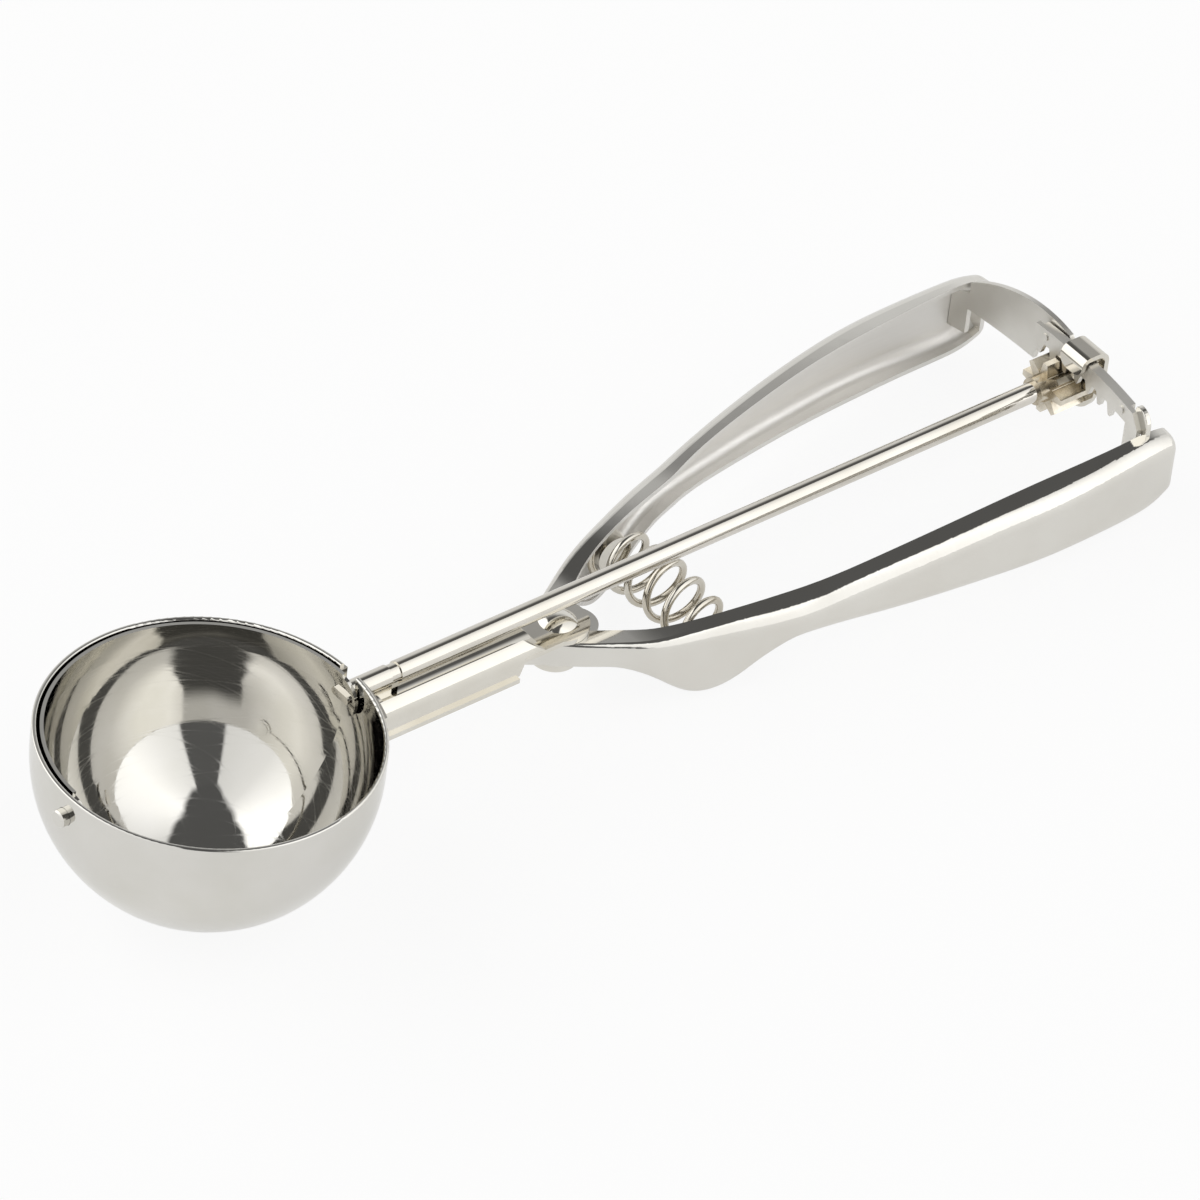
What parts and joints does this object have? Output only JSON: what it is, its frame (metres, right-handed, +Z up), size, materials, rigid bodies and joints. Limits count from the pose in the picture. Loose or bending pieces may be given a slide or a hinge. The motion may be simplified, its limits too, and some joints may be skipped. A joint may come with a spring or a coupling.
{
  "type": "ice cream scoop",
  "caption": "Squeeze-handle ice cream scoop with a round bowl and a sweeping scraper blade, turned by a rack and pinion when the sprung handles close.",
  "frame": {"origin": "centre of the footprint on the table, as the scoop lies on its bowl and its two handle ends", "axes": "+X from the bowl towards the handle ends along the scoop's length, +Y towards the handle that stays still, +Z up from the table"},
  "size_m": [0.2082, 0.056, 0.0355],
  "materials": {
    "polished_stainless": "polished stainless steel",
    "satin_stainless": "satin stainless steel",
    "nickel_steel": "plain nickel-plated sintered steel",
    "spring_steel": "bright drawn spring wire"
  },
  "bodies": {
    "frame": {"bowl": "polished_stainless", "neck_saddle": "satin_stainless", "neck_channel": "polished_stainless", "neck_base": "satin_stainless", "pivot_rivet": "polished_stainless", "fixed_handle": "polished_stainless", "fixed_spring_stud": "polished_stainless", "spring": "spring_steel", "bearing_arm": "satin_stainless", "rod_end_bracket": "polished_stainless", "bracket_rivet": "polished_stainless"},
    "lever": {"lever_handle": "polished_stainless", "lever_spring_stud": "polished_stainless", "rack": "satin_stainless", "rack_backing": "satin_stainless", "rack_rivets": "polished_stainless"},
    "sweep": {"rod": "polished_stainless", "pinion": "nickel_steel", "pinion_collar": "nickel_steel", "scraper": "polished_stainless", "scraper_pin": "polished_stainless", "rod_end_washer": "polished_stainless"}
  },
  "joints": [
    {"name": "lever_hinge", "type": "hinge", "parent": "frame", "child": "lever", "pos_m": [-0.00565, 0, 0.01299], "axis": [0.1098, 0, 0.9939], "range_deg": [0, 6.88], "stiffness_Nm_per_rad": 1, "springref_deg": -5.73, "deforming": ["spring"]},
    {"name": "scraper_turn", "type": "hinge", "parent": "frame", "child": "sweep", "pos_m": [-0.07477, 0, 0.02805], "axis": [0.9939, 0, -0.1098], "range_deg": [-180, 0]}
  ],
  "couplings": [
    {"joint": "scraper_turn", "follows": "lever_hinge", "ratio": -26.125}
  ]
}
